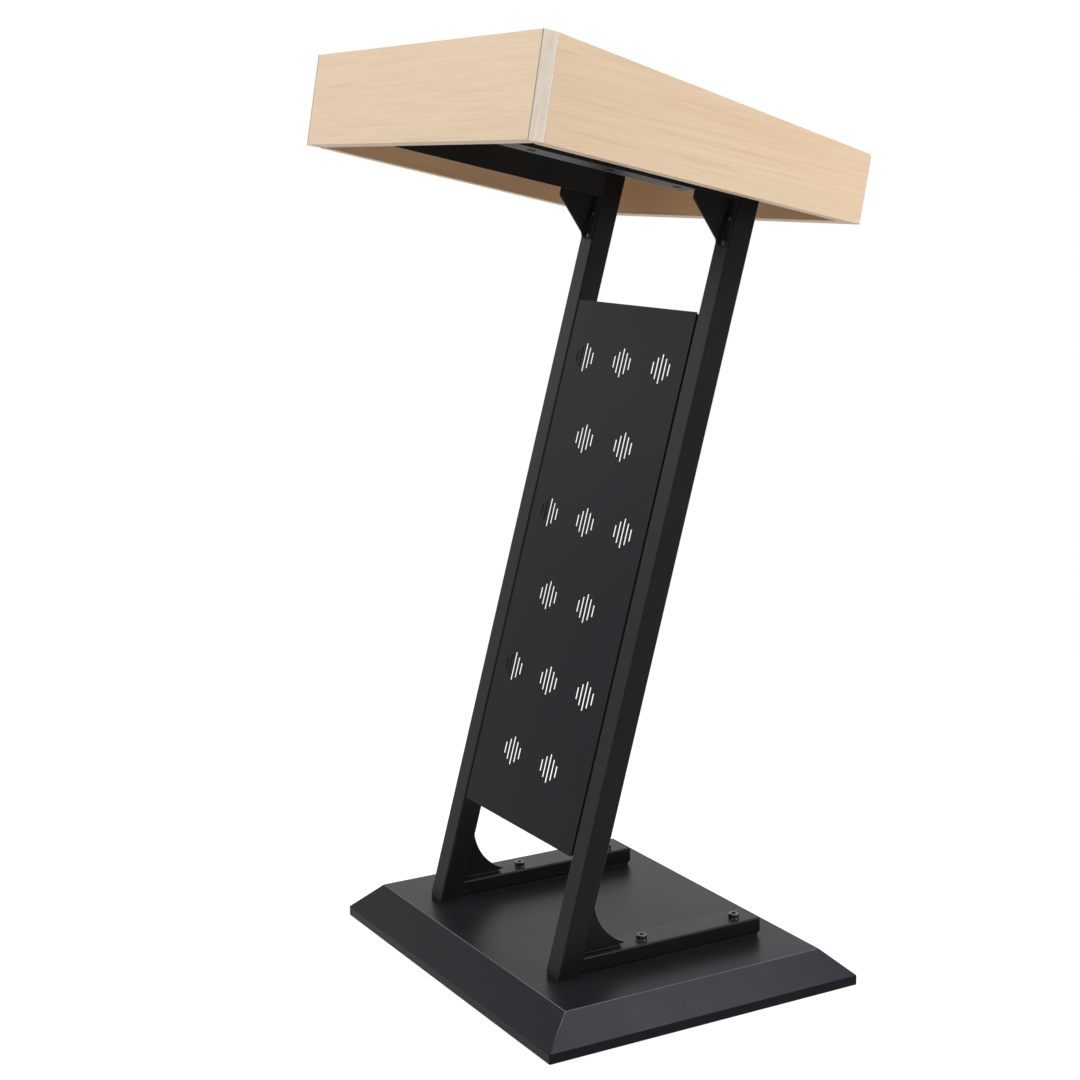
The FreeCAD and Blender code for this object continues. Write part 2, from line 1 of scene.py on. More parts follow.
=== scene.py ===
import math

import bmesh
import bpy
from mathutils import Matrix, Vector


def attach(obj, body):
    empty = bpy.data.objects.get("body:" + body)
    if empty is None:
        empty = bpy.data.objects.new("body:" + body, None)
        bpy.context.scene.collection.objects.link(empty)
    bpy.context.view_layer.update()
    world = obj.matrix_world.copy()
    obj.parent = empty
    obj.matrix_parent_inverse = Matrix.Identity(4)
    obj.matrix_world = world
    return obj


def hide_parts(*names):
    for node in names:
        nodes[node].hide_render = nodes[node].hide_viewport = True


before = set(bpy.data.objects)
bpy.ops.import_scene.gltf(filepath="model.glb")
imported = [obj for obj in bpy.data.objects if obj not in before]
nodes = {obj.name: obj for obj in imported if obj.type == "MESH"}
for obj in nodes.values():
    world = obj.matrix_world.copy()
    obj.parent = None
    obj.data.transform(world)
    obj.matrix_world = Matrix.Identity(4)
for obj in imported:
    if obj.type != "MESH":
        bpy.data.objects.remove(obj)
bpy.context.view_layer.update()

MM = 0.001
WHITE = (1.0, 1.0, 1.0, 1.0)

# The desk's own axes start at the lower front edge of its front board, and slope down toward the speaker
DESK_ORIGIN = (0.0, -0.2442, 1.04979)
DESK_TILT = math.radians(11.87)
DESK_MIDDLE = 0.2285
BOARD_UNDERSIDE = 0.05
UPRIGHT_LEAN = math.radians(15.0)


# --- Finishes ---

NOISE_MIDDLE = 0.5
DARK_STOP, MIDDLE_STOP, LIGHT_STOP = 0.3, 0.5, 0.7


class Wire:
    """A value in a finish's node tree; sums and products of wires add Math nodes."""

    def __init__(self, finish, socket):
        self.finish = finish
        self.socket = socket

    def math(self, operation, first, second):
        return self.finish.node("ShaderNodeMath", {"operation": operation}, {0: first, 1: second})

    def __add__(self, other):
        return self.math("ADD", self, other)

    __radd__ = __add__

    def __sub__(self, other):
        return self.math("SUBTRACT", self, other)

    def __rsub__(self, other):
        return self.math("SUBTRACT", other, self)

    def __mul__(self, other):
        return self.math("MULTIPLY", self, other)

    __rmul__ = __mul__

    def __pow__(self, other):
        return self.math("POWER", self, other)

    def __rpow__(self, other):
        return self.math("POWER", other, self)

    def __neg__(self):
        return self * -1.0

    def above(self, level, soft):
        """0 below the level, 1 above it, over a soft step."""
        return self.finish.node("ShaderNodeMapRange", {"interpolation_type": "SMOOTHSTEP"},
                                {"Value": self, "From Min": level - soft, "From Max": level + soft})

    def swing(self, reach):
        """A noise's departure from its middle value, times a reach."""
        return (self - NOISE_MIDDLE) * reach


class Finish:
    """One surface finish: a material with a Principled shader, fed by nodes."""

    def __init__(self, name, **fixed):
        self.material = bpy.data.materials.new(name)
        self.material.use_nodes = True
        self.tree = self.material.node_tree
        self.tree.nodes.clear()
        self.shader = self.tree.nodes.new("ShaderNodeBsdfPrincipled")
        output = self.tree.nodes.new("ShaderNodeOutputMaterial")
        self.tree.links.new(self.shader.outputs["BSDF"], output.inputs["Surface"])
        self.set(**fixed)

    def set(self, **sockets):
        """Sets or links the shader's own sockets, written with _ for a space."""
        for name, value in sockets.items():
            self.feed(self.shader.inputs[name.replace("_", " ")], value)
        return self.material

    def node(self, kind, settings=None, inputs=None, output=0):
        """Adds a node: its settings first, then the values or links of its sockets."""
        made = self.tree.nodes.new(kind)
        for name, value in (settings or {}).items():
            if name == "stops":
                self.set_stops(made.color_ramp, value)
            else:
                setattr(made, name, value)
        for name, value in (inputs or {}).items():
            self.feed(made.inputs[name], value)
        return Wire(self, made.outputs[output])

    def set_stops(self, ramp, stops):
        while len(ramp.elements) < len(stops):
            ramp.elements.new(1.0)
        for element, (place, colour) in zip(ramp.elements, stops):
            element.position = place
            element.color = (*colour, 1.0)

    def feed(self, socket, value):
        if isinstance(value, Wire):
            self.tree.links.new(value.socket, socket)
        else:
            socket.default_value = value

    def place(self, origin=(0.0, 0.0, 0.0), turn=0.0):
        """Object coordinates on axes turned about X at an origin."""
        where = self.node("ShaderNodeTexCoord", output="Object")
        return self.node("ShaderNodeMapping", {"vector_type": "TEXTURE"},
                         {"Vector": where, "Location": origin, "Rotation": (turn, 0.0, 0.0)})

    def stretched(self, where, per_metre):
        return self.node("ShaderNodeVectorMath", {"operation": "MULTIPLY"}, {0: where, 1: per_metre})

    def shifted(self, where, by):
        return self.node("ShaderNodeVectorMath", {"operation": "ADD"}, {0: where, 1: by})

    def noise(self, where, scale=1.0, detail=2.0, rough=0.5, twist=0.0):
        return self.node("ShaderNodeTexNoise", None,
                         {"Vector": where, "Scale": scale, "Detail": detail, "Roughness": rough,
                          "Distortion": twist})

    def ramp(self, value, stops):
        return self.node("ShaderNodeValToRGB", {"stops": stops}, {"Fac": value})

    def two_tones(self, value, dark, light):
        return self.ramp(value, [(DARK_STOP, dark), (LIGHT_STOP, light)])

    def blend(self, share, first, second, way="MIX"):
        return self.node("ShaderNodeMix", {"data_type": "RGBA", "blend_type": way},
                         {0: share, 6: first, 7: second}, output=2)

    def axes(self, where):
        return [self.node("ShaderNodeSeparateXYZ", None, {0: where}, axis) for axis in "XYZ"]

    def facing(self):
        """How far the surface looks along X, Y and Z, each from -1 to 1."""
        return self.axes(self.node("ShaderNodeNewGeometry", output="Normal"))

    def bump(self, height, strength, depth_mm):
        return self.node("ShaderNodeBump", None,
                         {"Height": height, "Strength": strength, "Distance": depth_mm * MM})


COOL_GLOSS = (0.84, 0.87, 1.0, 1.0)
PLAIN_GLOSS = (0.95, 0.96, 1.0, 1.0)
DUST_GREY = (0.2, 0.2, 0.205, 1.0)
EDGE_HIGHLIGHT_GREY = (0.42, 0.42, 0.45, 1.0)
# How far up a surface looks: from here on dust lies on it, and between these two it is a rounded upper edge,
# lightened with a painted highlight
DUSTY_SLOPE = 0.9
STEEPEST_HIGHLIT, FLATTEST_HIGHLIT = 0.775, 0.99


def powder_coat(name, dark, light, roughness, specular, dust, tint, edge_highlight=0.0):
    """Sprayed black coat: fine orange peel, faint clouds, some dust on what faces up, painted highlights on
    rounded upper edges.
    """
    coat = Finish(name, Specular_IOR_Level=specular, Specular_Tint=tint)
    where = coat.place()
    peel = coat.noise(where, scale=1100.0, detail=2.0, rough=0.55)
    cloud = coat.noise(where, scale=14.0, detail=3.0, rough=0.6)
    speck = coat.noise(where, scale=420.0, detail=2.0, rough=0.5)
    settling = coat.noise(where, scale=7.0, detail=4.0, rough=0.65)
    slope = coat.facing()[2]
    colour = coat.two_tones(cloud * 0.6 + speck * 0.4, dark, light)
    film = slope.above(DUSTY_SLOPE, soft=0.1) * (0.5 + settling) * dust
    colour = coat.blend(film, colour, DUST_GREY)
    if edge_highlight:
        # Painted highlight: a light grey line on the rounded upper edges, standing in for their gloss
        edge = slope.above(STEEPEST_HIGHLIT, soft=0.012) * (1.0 - slope.above(FLATTEST_HIGHLIT, soft=0.006))
        colour = coat.blend(edge * edge_highlight * (0.6 + speck * 0.8), colour, EDGE_HIGHLIGHT_GREY)
    return coat.set(Base_Color=colour, Roughness=roughness + cloud.swing(0.1) + peel.swing(0.06),
                    Normal=coat.bump(peel, strength=0.12, depth_mm=0.12))


def moulded(name, dark, light, roughness, specular):
    """Moulded black plastic or rubber: a fine spark-eroded grain and faint flow clouds."""
    skin = Finish(name, Specular_IOR_Level=specular)
    where = skin.place()
    grain = skin.noise(where, scale=1700.0, detail=1.0, rough=0.5)
    flow = skin.noise(skin.stretched(where, (30.0, 12.0, 30.0)), detail=2.0, rough=0.5)
    return skin.set(Base_Color=skin.two_tones(flow, dark, light), Roughness=roughness + grain.swing(0.16),
                    Normal=skin.bump(grain, strength=0.2, depth_mm=0.08))


def plated(name, dark, light, roughness, metal):
    """Plated or blackened steel: clouded, with fine turning marks."""
    steel = Finish(name, Metallic=metal)
    where = steel.place()
    cloud = steel.noise(where, scale=130.0, detail=3.0, rough=0.6)
    marks = steel.noise(steel.stretched(where, (300.0, 300.0, 4200.0)), detail=1.0, rough=0.5)
    colour = steel.two_tones(cloud * 0.7 + marks * 0.3, dark, light)
    return steel.set(Base_Color=colour, Roughness=roughness + cloud.swing(0.2),
                     Normal=steel.bump(marks, strength=0.1, depth_mm=0.05))


# Painted shade: what the inner faces below the reading board are multiplied by, and how much of it
UNDER_BOARD_SHADE_TINT = (0.95, 0.77, 0.53, 1.0)
UNDER_BOARD_SHADE_SHARE = 0.6


def maple(name, along, across, seed, tones, streak_colour, roughness=0.46, specular=0.3):
    """Pale maple-like facing: broad bands, fine lines, flames and short pores along one axis.

    Below the reading board, painted shade makes the inner faces of the boards warmer and darker.
    """
    wood = Finish(name, Specular_IOR_Level=specular)
    desk = wood.place(DESK_ORIGIN, -DESK_TILT)
    where = wood.shifted(desk, seed)

    def grain(long_scale, cross_scale, detail, rough, twist=0.0):
        per_metre = [long_scale * a + cross_scale * b for a, b in zip(along, across)]
        return wood.noise(wood.stretched(where, per_metre), detail=detail, rough=rough, twist=twist)

    bands = grain(1.2, 26.0, detail=2.0, rough=0.5, twist=0.2)
    lines = grain(7.0, 330.0, detail=3.0, rough=0.62)
    pores = grain(40.0, 1150.0, detail=1.0, rough=0.5)
    flame = grain(5.0, 120.0, detail=3.0, rough=0.6, twist=0.3)
    colour = wood.ramp(bands * 0.3 + lines * 0.52 + pores * 0.18,
                       list(zip((DARK_STOP, MIDDLE_STOP, LIGHT_STOP), tones)))
    colour = wood.blend(flame.above(0.64, soft=0.1) * 0.4, colour, streak_colour)
    colour = wood.blend(pores.above(0.64, soft=0.06) * 0.3, colour, streak_colour)

    # Painted shade on the inner faces of the boards, under the reading board
    sideways, back, up = wood.axes(desk)
    look_x, look_y, _ = wood.facing()
    from_sides = (-(look_x * sideways)).above(0.2, soft=0.05)
    from_ends = (look_y * (DESK_MIDDLE - back)).above(0.17, soft=0.03)
    below = 1.0 - up.above(BOARD_UNDERSIDE, soft=0.01)
    colour = wood.blend((from_sides + from_ends) * below * UNDER_BOARD_SHADE_SHARE, colour, UNDER_BOARD_SHADE_TINT,
                        "MULTIPLY")
    return wood.set(Base_Color=colour, Roughness=roughness + lines.swing(0.16),
                    Normal=wood.bump(lines * 0.6 + pores * 0.4, strength=0.12, depth_mm=0.2))


# The edge band's face leans against the desk's axes; its glue line and its rear seam lie this far behind its front
BAND_LEAN = 0.0409
GLUE_LINE = 0.7 * MM
REAR_SEAM = 18.2 * MM
CHIP_REACH = 6.0 * MM
CREAM_DARK, CREAM_LIGHT = (0.68, 0.585, 0.47), (0.82, 0.74, 0.63)
CHIP_WHITE = (0.93, 0.92, 0.9, 1.0)
GLUE_BROWN = (0.13, 0.095, 0.065, 1.0)


def edge_band():
    """Cream edge band: faint upright streaks, a dark glue line in front, white chips along its rear seam."""
    band = Finish("cream_edge_band", Specular_IOR_Level=0.3)
    where = band.place(DESK_ORIGIN, -DESK_TILT)
    _, back, up = band.axes(where)
    behind = back + up * BAND_LEAN
    streak = band.noise(band.stretched(where, (400.0, 400.0, 14.0)), detail=2.0, rough=0.5)
    cloud = band.noise(where, scale=60.0, detail=2.0, rough=0.5)
    tear = band.noise(band.stretched(where, (200.0, 260.0, 520.0)), detail=3.0, rough=0.65)
    colour = band.two_tones(streak * 0.6 + cloud * 0.4, CREAM_DARK, CREAM_LIGHT)
    more_above = 0.35 + up.above(0.06, soft=0.03) * 0.65
    chips = (behind + tear.swing(CHIP_REACH) * more_above).above(REAR_SEAM, soft=0.3 * MM)
    colour = band.blend(chips * 0.85, colour, CHIP_WHITE)
    glue = 1.0 - behind.above(GLUE_LINE, soft=0.4 * MM)
    colour = band.blend(glue * 0.75, colour, GLUE_BROWN)
    return band.set(Base_Color=colour, Roughness=0.5 + cloud.swing(0.15),
                    Normal=band.bump(streak, strength=0.1, depth_mm=0.1))


BLACK_FRAME = powder_coat("frame_powder_coat", dark=(0.0055, 0.0055, 0.0062), light=(0.0085, 0.0085, 0.0095),
                          roughness=0.38, specular=0.135, dust=0.02, tint=PLAIN_GLOSS)
# Painted light: a lighter copy of the black coat for the arms and brackets, which lie in the desk's shadow
ARM_COAT_PAINTED_LIGHTER = powder_coat("arm_powder_coat_painted_lighter", dark=(0.019, 0.019, 0.0196), light=(0.025, 0.025, 0.026),
                        roughness=0.44, specular=0.035, dust=0.0, tint=PLAIN_GLOSS)
BLACK_PANEL = powder_coat("panel_powder_coat", dark=(0.0035, 0.0036, 0.0054), light=(0.0065, 0.0066, 0.0094),
                          roughness=0.4, specular=0.1, dust=0.02, tint=COOL_GLOSS)
BLACK_BASE = powder_coat("base_powder_coat", dark=(0.004, 0.0041, 0.006), light=(0.0075, 0.0076, 0.0105),
                         roughness=0.35, specular=0.1, dust=0.03, tint=COOL_GLOSS, edge_highlight=0.4)
# Painted shadow: near-black matte rails, so the gaps beside the panel read as shadow
RAIL_PAINTED_SHADOW = powder_coat("rail_painted_shadow", dark=(0.0015, 0.0015, 0.0016), light=(0.003, 0.003, 0.0032),
                         roughness=0.7, specular=0.05, dust=0.0, tint=PLAIN_GLOSS)
PLUG_PLASTIC = moulded("plug_plastic", dark=(0.008, 0.008, 0.0085), light=(0.014, 0.014, 0.015),
                       roughness=0.5, specular=0.35)
SOLE_RUBBER = moulded("sole_rubber", dark=(0.006, 0.006, 0.006), light=(0.011, 0.011, 0.011),
                      roughness=0.75, specular=0.2)
BLACK_STEEL = plated("blackened_steel", dark=(0.003, 0.003, 0.0033), light=(0.007, 0.007, 0.0075),
                     roughness=0.3, metal=0.0)
ZINC_STEEL = plated("zinc_plated_steel", dark=(0.42, 0.43, 0.45), light=(0.66, 0.67, 0.69),
                    roughness=0.36, metal=1.0)
CREAM_BAND = edge_band()

GRAIN_ACROSS = {"along": (1, 0, 0), "across": (0, 1, 1)}
GRAIN_BACK = {"along": (0, 1, 0), "across": (1, 0, 1)}
MAPLE = {"tones": [(0.72, 0.525, 0.345), (0.8, 0.605, 0.415), (0.86, 0.675, 0.485)],
         "streak_colour": (0.67, 0.455, 0.27, 1.0)}
BEECH = {"tones": [(0.5, 0.35, 0.21), (0.62, 0.45, 0.28), (0.7, 0.53, 0.35)],
         "streak_colour": (0.45, 0.29, 0.16, 1.0)}
MAPLE_ACROSS = maple("maple_grain_across", seed=(0.3, 0.0, 0.0), **GRAIN_ACROSS, **MAPLE)
MAPLE_ALONG = maple("maple_grain_along", seed=(0.0, 1.7, 0.0), **GRAIN_BACK, **MAPLE)
MAPLE_READING = maple("maple_reading_board", seed=(0.3, 0.0, 0.0), roughness=0.56, specular=0.1,
                      **GRAIN_ACROSS, **MAPLE)
RAW_BEECH = maple("raw_beech", seed=(0.7, 0.2, 0.0), **GRAIN_ACROSS, **BEECH)

NODE_FINISHES = {
    BLACK_FRAME: ["upright_left", "upright_right", "foot_left", "foot_right"],
    ARM_COAT_PAINTED_LIGHTER: ["arm_left", "arm_right"],
    BLACK_PANEL: ["panel"],
    RAIL_PAINTED_SHADOW: ["panel_rails"],
    BLACK_BASE: ["base_bottom", "base_ballast"],
    SOLE_RUBBER: ["base_pads", "foot_soles"],
    ZINC_STEEL: ["base_screws", "base_spacers", "cam_bolts", "cam_locks", "foot_nuts", "panel_nuts",
                 "panel_studs"],
    BLACK_STEEL: ["desk_screws"],
    RAW_BEECH: ["dowels"],
    CREAM_BAND: ["front_bands"],
}


def coat_with(mesh, finish):
    mesh.materials.clear()
    mesh.materials.append(finish)


for finish, names in NODE_FINISHES.items():
    for name in names:
        coat_with(nodes[name].data, finish)


# --- Pieces with eased edges ---

def stand_in(mesh, name, replaced):
    """Adds a piece that is shown in place of a CAD node and moves with its body."""
    piece = bpy.data.objects.new(name, mesh)
    bpy.context.scene.collection.objects.link(piece)
    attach(piece, "root")
    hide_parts(replaced)


SAME_POINT = 0.02 * MM
SLIVER = 0.01 * MM
SAME_PLANE = math.radians(1.0)
SAME_WAY = math.cos(math.radians(0.5))
SHARP_EDGE = math.radians(30.0)
EASED_CREASE = math.radians(38.0)
FLAT_AREA = 1e-4
ROUNDING_STEPS = 3


def eased(name, slot, finish, radius, least, lowest=None):
    """Copy of a CAD node whose long sharp edges are rounded, shown in its place; its large faces stay flat.

    Edges longer than the least length are rounded, by less than the radius where room is short.
    With a lowest height, only outward edges above it are rounded, by the full radius.
    """
    mesh = nodes[name].data.copy()
    mesh.name = name + "_eased"
    work = bmesh.new()
    work.from_mesh(mesh)
    bmesh.ops.remove_doubles(work, verts=work.verts, dist=SAME_POINT)
    bmesh.ops.dissolve_limit(work, angle_limit=SAME_PLANE, verts=work.verts, edges=work.edges)
    planes = [face.normal.copy() for face in work.faces if face.calc_area() > FLAT_AREA]
    sharp = [edge for edge in work.edges
             if len(edge.link_faces) == 2 and edge.calc_face_angle() > SHARP_EDGE and edge.calc_length() > least]
    if lowest is not None:
        sharp = [edge for edge in sharp if edge.is_convex and min(v.co.z for v in edge.verts) > lowest]
    bmesh.ops.bevel(work, geom=sharp, offset=radius, segments=ROUNDING_STEPS, profile=0.5, affect="EDGES",
                    clamp_overlap=lowest is None)
    bmesh.ops.dissolve_degenerate(work, dist=SLIVER, edges=work.edges)
    work.to_mesh(mesh)
    work.free()
    coat_with(mesh, finish)
    # Marking the creases makes every face smooth, so the flat ones are set after it
    mesh.set_sharp_from_angle(angle=EASED_CREASE)
    for face in mesh.polygons:
        face.use_smooth = not any(face.normal.dot(plane) > SAME_WAY for plane in planes)
    stand_in(mesh, name + "_eased", name)


BOARD_EDGES = {"slot": "board_wood", "radius": 0.8 * MM, "least": 17.0 * MM}
GUSSET_EDGES = {"slot": "frame_black", "radius": 0.7 * MM, "least": 2.5 * MM, "lowest": 0.0}
BRACKET_EDGES = {"slot": "frame_black", "radius": 0.6 * MM, "least": 2.5 * MM}
PLUG_EDGES = {"slot": "plug_black", "radius": 1.4 * MM, "least": 2.0 * MM, "lowest": 0.0}
BASE_EDGES = {"slot": "base_black", "radius": 1.2 * MM, "least": 40.0 * MM, "lowest": 5.0 * MM}

for name in ("desk_front", "desk_back"):
    eased(name, finish=MAPLE_ACROSS, **BOARD_EDGES)
eased("desk_board", finish=MAPLE_READING, **BOARD_EDGES)
for name in ("desk_left", "desk_right"):
    eased(name, finish=MAPLE_ALONG, lowest=0.0, **BOARD_EDGES)
for name in ("gusset_left", "gusset_right"):
    eased(name, finish=BLACK_FRAME, **GUSSET_EDGES)
for name in ("bracket_left", "bracket_right"):
    eased(name, finish=ARM_COAT_PAINTED_LIGHTER, **BRACKET_EDGES)
for name in ("foot_plug_left", "foot_plug_right"):
    eased(name, finish=PLUG_PLASTIC, **PLUG_EDGES)
eased("base_cover", finish=BLACK_BASE, **BASE_EDGES)


# --- Screws with sockets ---

HEAD_SIDES = 48
SHANK_SIDES = 24
SOCKET_SIDES = 6
SCREW_CREASE = math.radians(30.0)
SAME_SCREW_POINT = 0.001 * MM


def socket_screws_tree():
    """Geometry Nodes tree: a socket-head screw with a collar on every point, turned to the point's axis."""
    tree = bpy.data.node_groups.new("socket_screws", "GeometryNodeTree")
    tree.interface.new_socket("Points", in_out="INPUT", socket_type="NodeSocketGeometry")
    for size in ("Head Radius", "Head Height", "Head Edge", "Socket Radius", "Socket Depth", "Collar Radius",
                 "Collar Height", "Shank Radius", "Shank Length"):
        tree.interface.new_socket(size, in_out="INPUT", socket_type="NodeSocketFloat")
    tree.interface.new_socket("Finish", in_out="INPUT", socket_type="NodeSocketMaterial")
    tree.interface.new_socket("Screws", in_out="OUTPUT", socket_type="NodeSocketGeometry")
    given = tree.nodes.new("NodeGroupInput").outputs

    def node(kind, settings=None, inputs=None):
        made = tree.nodes.new(kind)
        for name, value in (settings or {}).items():
            setattr(made, name, value)
        for name, value in (inputs or {}).items():
            if isinstance(value, bpy.types.NodeSocket):
                tree.links.new(value, made.inputs[name])
            else:
                made.inputs[name].default_value = value
        return made.outputs[0]

    def minus(first, second):
        return node("ShaderNodeMath", {"operation": "SUBTRACT"}, {0: first, 1: second})

    def lifted(geometry, height):
        move = node("ShaderNodeCombineXYZ", None, {"Z": height})
        return node("GeometryNodeTransform", None, {"Geometry": geometry, "Translation": move})

    def wall(sides, low, high, height):
        return node("GeometryNodeMeshCone", {"fill_type": "NONE"},
                    {"Vertices": sides, "Radius Bottom": low, "Radius Top": high, "Depth": height})

    def loop(sides, radius):
        return node("GeometryNodeCurvePrimitiveCircle", None, {"Resolution": sides, "Radius": radius})

    def joined(*parts):
        joint = tree.nodes.new("GeometryNodeJoinGeometry")
        for part in reversed(parts):
            tree.links.new(part, joint.inputs[0])
        return joint.outputs[0]

    def flat(*loops):
        return node("GeometryNodeFillCurve", None, {"Curve": joined(*loops)})

    def flipped(mesh):
        return node("GeometryNodeFlipFaces", None, {"Mesh": mesh})

    radius, height, edge = given["Head Radius"], given["Head Height"], given["Head Edge"]
    collar, foot = given["Collar Radius"], given["Collar Height"]
    key, depth = given["Socket Radius"], given["Socket Depth"]
    shank, length = given["Shank Radius"], given["Shank Length"]
    rim = minus(radius, edge)
    shoulder = minus(height, edge)
    floor = minus(height, depth)
    end = minus(0.0, length)
    screw = [
        # Collar, head and its eased edge, and the top round the socket
        wall(HEAD_SIDES, collar, radius, foot),
        lifted(wall(HEAD_SIDES, radius, radius, minus(shoulder, foot)), foot),
        lifted(wall(HEAD_SIDES, radius, rim, edge), shoulder),
        lifted(flat(loop(HEAD_SIDES, rim), loop(SOCKET_SIDES, key)), height),
        # Socket
        lifted(flipped(wall(SOCKET_SIDES, key, key, depth)), floor),
        lifted(flat(loop(SOCKET_SIDES, key)), floor),
        # Seat, shank and its end
        flipped(flat(loop(HEAD_SIDES, collar), loop(SHANK_SIDES, shank))),
        lifted(wall(SHANK_SIDES, shank, shank, length), end),
        lifted(flipped(flat(loop(SHANK_SIDES, shank))), end),
    ]
    axis = node("GeometryNodeInputNamedAttribute", {"data_type": "FLOAT_VECTOR"}, {"Name": "axis"})
    turn = node("FunctionNodeAlignRotationToVector", {"axis": "Z"}, {"Vector": axis})
    placed = node("GeometryNodeInstanceOnPoints", None,
                  {"Points": given["Points"], "Instance": joined(*screw), "Rotation": turn})
    real = node("GeometryNodeRealizeInstances", None, {"Geometry": placed})
    coated = node("GeometryNodeSetMaterial", None, {"Geometry": real, "Material": given["Finish"]})
    tree.links.new(coated, tree.nodes.new("NodeGroupOutput").inputs[0])
    return tree


SOCKET_SCREWS = socket_screws_tree()


def socket_screws(name, replaced, seats, sizes_mm, finish):
    """Screws on (seat, outward axis) pairs, in millimetres, shown in place of a CAD node."""
    points = bpy.data.meshes.new(name + "_points")
    points.from_pydata([[c * MM for c in seat] for seat, _ in seats], [], [])
    axes = points.attributes.new("axis", "FLOAT_VECTOR", "POINT")
    for item, (_, axis) in zip(axes.data, seats):
        item.vector = axis
    source = bpy.data.objects.new(name + "_points", points)
    bpy.context.scene.collection.objects.link(source)
    modifier = source.modifiers.new("screws", "NODES")
    modifier.node_group = SOCKET_SCREWS
    for item in SOCKET_SCREWS.interface.items_tree:
        if item.name in sizes_mm:
            modifier[item.identifier] = sizes_mm[item.name] * MM
        elif item.name == "Finish":
            modifier[item.identifier] = finish
    shown = source.evaluated_get(bpy.context.evaluated_depsgraph_get())
    mesh = bpy.data.meshes.new_from_object(shown)
    mesh.name = name
    source.modifiers.remove(modifier)
    bpy.data.objects.remove(source)
    work = bmesh.new()
    work.from_mesh(mesh)
    bmesh.ops.remove_doubles(work, verts=work.verts, dist=SAME_SCREW_POINT)
    work.to_mesh(mesh)
    work.free()
    mesh.shade_smooth()
    mesh.set_sharp_from_angle(angle=SCREW_CREASE)
    stand_in(mesh, name, replaced)


# Foot bolts stand upright on the feet, two on each
FOOT_TOP = 71.0
FOOT_BOLTS_ACROSS = (-156.0, 151.0)
FOOT_BOLTS_BACK = (-3.8, 138.2)
FOOT_SEATS = [((x, y, FOOT_TOP), (0, 0, 1)) for x in FOOT_BOLTS_ACROSS for y in FOOT_BOLTS_BACK]
FOOT_SIZES = {"Head Radius": 7.0, "Head Height": 6.0, "Head Edge": 0.9, "Socket Radius": 3.46,
              "Socket Depth": 3.5, "Collar Radius": 7.4, "Collar Height": 0.5, "Shank Radius": 4.0,
              "Shank Length": 48.5}
socket_screws("foot_bolts_socket_head", "foot_bolts", FOOT_SEATS, FOOT_SIZES, BLACK_STEEL)

# Bracket screws go square into the fronts of the leaning uprights, a lower and an upper one on each
OUT_OF_UPRIGHT = (0.0, -math.cos(UPRIGHT_LEAN), math.sin(UPRIGHT_LEAN))
BRACKET_SCREWS_ACROSS = (-145.5, 161.5)
BRACKET_SCREWS_BACK_UP = ((97.232, 933.875), (104.845, 962.288))
BRACKET_SEATS = [((x, y, z), OUT_OF_UPRIGHT) for x in BRACKET_SCREWS_ACROSS for y, z in BRACKET_SCREWS_BACK_UP]
BRACKET_SIZES = {"Head Radius": 3.5, "Head Height": 2.2, "Head Edge": 0.8, "Socket Radius": 1.44,
                 "Socket Depth": 1.4, "Collar Radius": 3.9, "Collar Height": 0.4, "Shank Radius": 2.0,
                 "Shank Length": 11.0}
socket_screws("bracket_screws_button_head", "bracket_screws", BRACKET_SEATS, BRACKET_SIZES,
              BLACK_STEEL)


# --- Floor, light and camera; what the eye, gloss and glass see of the room is white ---

SEEING_RAYS = ("Is Camera Ray", "Is Glossy Ray", "Is Transmission Ray")
FLOOR_HALF = 9.0
FLOOR_GREY = (0.62, 0.62, 0.62, 1.0)
FLOOR_SHADED = (0.45, 0.45, 0.45, 1.0)
FLOOR_GLOW = 0.8
WHITE_GLOW = 1.0
SHADOW_REACH, SHADOW_FADE = 1.5, 0.9
ROOM_FILL = 0.34


def floor_finish():
    """Pale floor: to the eye near white under the object's soft shadow and plain white farther out.

    Gloss and glass see it plain white, and other light meets a pale grey.
    """
    pale = Finish("pale_floor", Base_Color=FLOOR_GREY, Specular_IOR_Level=0.0, Roughness=1.0)
    across, back, _ = pale.axes(pale.place())
    far = ((across * across + back * back) ** 0.5).above(SHADOW_REACH, SHADOW_FADE)
    seen, mirrored, through = [pale.node("ShaderNodeLightPath", output=ray) for ray in SEEING_RAYS]
    glow = pale.node("ShaderNodeEmission", None, {"Color": WHITE, "Strength": FLOOR_GLOW})
    shade = pale.node("ShaderNodeBsdfDiffuse", None, {"Color": FLOOR_SHADED})
    lit = pale.node("ShaderNodeAddShader", None, {0: glow, 1: shade})
    plain = pale.node("ShaderNodeEmission", None, {"Color": WHITE, "Strength": WHITE_GLOW})
    shown = pale.node("ShaderNodeMixShader", None, {0: far, 1: lit, 2: plain})
    both = pale.node("ShaderNodeMixShader", None, {0: seen, 1: Wire(pale, pale.shader.outputs[0]), 2: shown})
    room = pale.node("ShaderNodeMixShader", None, {0: mirrored + through, 1: both, 2: plain})
    pale.tree.links.new(room.socket, pale.tree.nodes["Material Output"].inputs["Surface"])
    return pale.material


def flat_floor(half):
    mesh = bpy.data.meshes.new("floor")
    corners = [(-half, -half, 0), (half, -half, 0), (half, half, 0), (-half, half, 0)]
    mesh.from_pydata(corners, [], [(0, 1, 2, 3)])
    floor = bpy.data.objects.new("floor", mesh)
    bpy.context.scene.collection.objects.link(floor)
    mesh.materials.append(floor_finish())


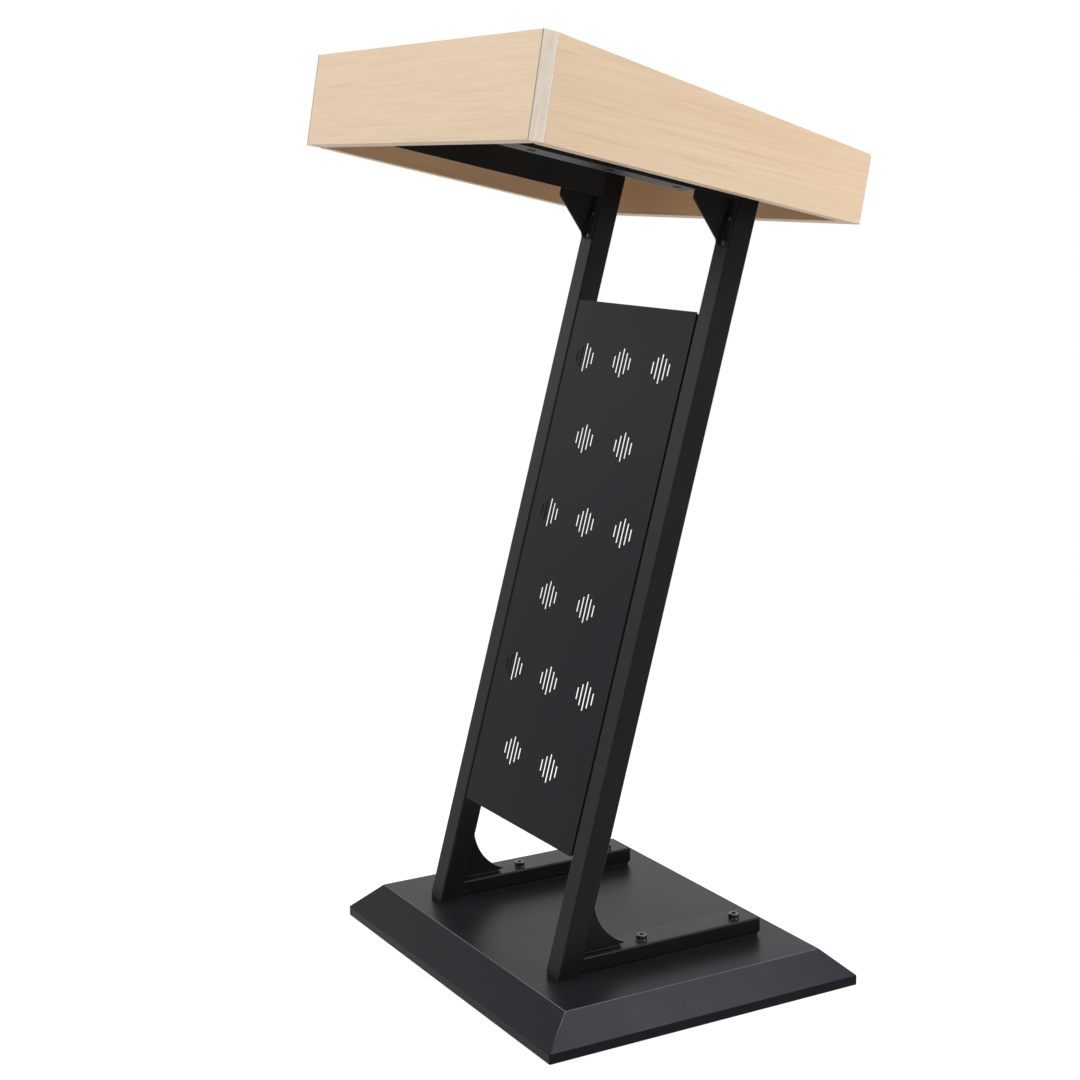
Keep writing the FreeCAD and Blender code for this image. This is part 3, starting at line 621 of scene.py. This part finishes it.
def studio_world(fill):
    """White to the eye, in gloss and through glass; a softer even light for everything else."""
    world = bpy.data.worlds.new("studio")
    bpy.context.scene.world = world
    world.use_nodes = True
    tree = world.node_tree
    tree.nodes.clear()
    path = tree.nodes.new("ShaderNodeLightPath")
    both = tree.nodes.new("ShaderNodeMixShader")
    seen = path.outputs[SEEING_RAYS[0]]
    for ray in SEEING_RAYS[1:]:
        either = tree.nodes.new("ShaderNodeMath")
        either.operation = "MAXIMUM"
        tree.links.new(seen, either.inputs[0])
        tree.links.new(path.outputs[ray], either.inputs[1])
        seen = either.outputs[0]
    tree.links.new(seen, both.inputs[0])
    for place, strength in ((1, fill), (2, WHITE_GLOW)):
        light = tree.nodes.new("ShaderNodeBackground")
        light.inputs["Color"].default_value = WHITE
        light.inputs["Strength"].default_value = strength
        tree.links.new(light.outputs[0], both.inputs[place])
    tree.links.new(both.outputs[0], tree.nodes.new("ShaderNodeOutputWorld").inputs[0])


def softbox(name, place, aim, width, height, watts):
    light = bpy.data.lights.new(name, "AREA")
    light.shape = "RECTANGLE"
    light.size = width
    light.size_y = height
    light.energy = watts
    box = bpy.data.objects.new(name, light)
    box.visible_camera = False
    box.location = place
    box.rotation_euler = (Vector(aim) - Vector(place)).to_track_quat("-Z", "Y").to_euler()
    bpy.context.scene.collection.objects.link(box)


flat_floor(FLOOR_HALF)
studio_world(ROOM_FILL)
softbox("overhead_softbox", place=(1.95, 1.6, 2.35), aim=(0.0, 0.0, 0.3), width=0.9, height=0.9, watts=53.0)
softbox("left_softbox", place=(-2.5, -2.0, 1.8), aim=(0.0, 0.0, 0.8), width=1.6, height=1.3, watts=9.5)
softbox("back_softbox", place=(-3.2, 2.0, 0.9), aim=(0.0, 0.0, 0.2), width=3.2, height=1.7, watts=8.0)
softbox("front_softbox", place=(0.6, -2.9, 3.0), aim=(0.0, 0.0, 0.9), width=3.4, height=2.6, watts=72.0)

CAMERA_PLACE = (2.1051, -1.2992, 1.0205)
CAMERA_DIP = 0.1861
CAMERA_TURN = 1.0397
SENSOR_MM = 36.0
LENS_MM = 65.81

camera = bpy.data.objects.new("camera", bpy.data.cameras.new("camera"))
camera.location = CAMERA_PLACE
camera.rotation_euler = (math.pi / 2 - CAMERA_DIP, 0.0, CAMERA_TURN)
camera.data.sensor_width = SENSOR_MM
camera.data.lens = LENS_MM
bpy.context.scene.collection.objects.link(camera)
bpy.context.scene.camera = camera
bpy.context.scene.view_settings.view_transform = "Standard"
